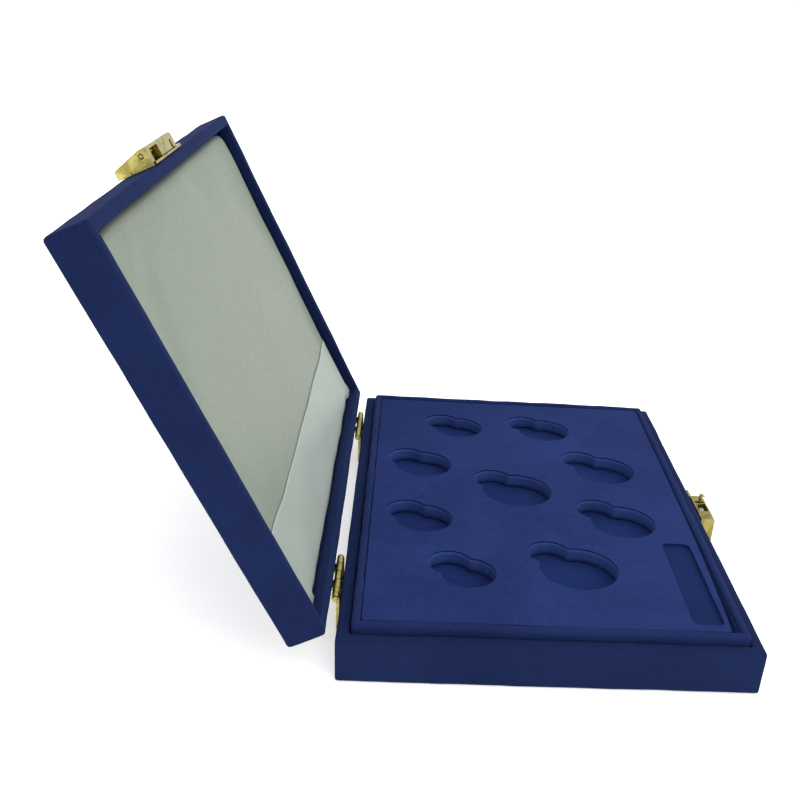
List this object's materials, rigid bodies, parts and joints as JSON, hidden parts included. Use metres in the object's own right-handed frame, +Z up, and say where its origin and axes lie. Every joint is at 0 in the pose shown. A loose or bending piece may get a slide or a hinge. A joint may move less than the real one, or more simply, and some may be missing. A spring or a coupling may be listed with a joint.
{
  "type": "coin display tray",
  "caption": "Hinged velvet-covered presentation case, open: a shallow base with a recessed coin insert and a plaque recess, a padded lid lining and a push-button clasp.",
  "frame": {"origin": "middle of the base's underside, on the surface the case stands on", "axes": "+Z up; +X towards the clasp side and -X towards the hinges, along which the open case is longest; Y along the hinge line"},
  "size_m": [0.2086, 0.19, 0.1383],
  "materials": {
    "velvet": "short-pile velvet, deep blue",
    "board": "uncoated grey pressed board",
    "foam": "fine-celled foam",
    "lining_satin": "grey-green satin, softly padded",
    "pocket_satin": "pale satin with a turned hem",
    "brass": "thin pressed sheet, bright plated",
    "steel": "drawn wire and turned screws"
  },
  "bodies": {
    "base": {"base_bottom_board": "board", "base_underside_sheet": "velvet", "base_velvet_cover": "velvet", "base_wall_clasp": "board", "base_wall_far": "board", "base_wall_hinge": "board", "base_wall_near": "board", "catch_housing": "brass", "catch_mounting_plate": "brass", "catch_screw_1": "brass", "catch_screw_2": "brass", "catch_spring": "steel", "collar_board_clasp": "board", "collar_board_far": "board", "collar_board_hinge": "board", "collar_board_near": "board", "collar_velvet_cover": "velvet", "hinge_far_base_leaf": "brass", "hinge_far_base_leaf_screw_1": "steel", "hinge_far_base_leaf_screw_2": "steel", "hinge_far_pin": "brass", "hinge_near_base_leaf": "brass", "hinge_near_base_leaf_screw_1": "steel", "hinge_near_base_leaf_screw_2": "steel", "hinge_near_pin": "brass", "insert_floor_board": "velvet", "insert_foam_spacer": "foam", "insert_panel": "velvet"},
    "lid": {"clasp_cross_pin": "brass", "clasp_housing": "brass", "clasp_mounting_plate": "brass", "clasp_screw_1": "brass", "clasp_screw_2": "brass", "hinge_far_lid_leaf": "brass", "hinge_far_lid_leaf_screw_1": "steel", "hinge_far_lid_leaf_screw_2": "steel", "hinge_near_lid_leaf": "brass", "hinge_near_lid_leaf_screw_1": "steel", "hinge_near_lid_leaf_screw_2": "steel", "lid_lining_card": "board", "lid_lining_foam": "foam", "lid_lining_pad": "lining_satin", "lid_pocket_band": "pocket_satin", "lid_top_board": "board", "lid_velvet_cover": "velvet", "lid_wall_clasp": "board", "lid_wall_far": "board", "lid_wall_hinge": "board", "lid_wall_near": "board"},
    "button": {"catch_button": "brass"}
  },
  "joints": [
    {"name": "lid_hinge", "type": "hinge", "parent": "base", "child": "lid", "pos_m": [-0.0665, 0, 0.0153], "axis": [0, 1, 0], "range_deg": [0, 116]},
    {"name": "catch_button_press", "type": "slide", "parent": "base", "child": "button", "axis": [1, 0, 0], "range_m": [-0.0011, 0], "stiffness_N_per_m": 400, "springref_m": 0.001, "deforming": ["catch_spring"]}
  ]
}
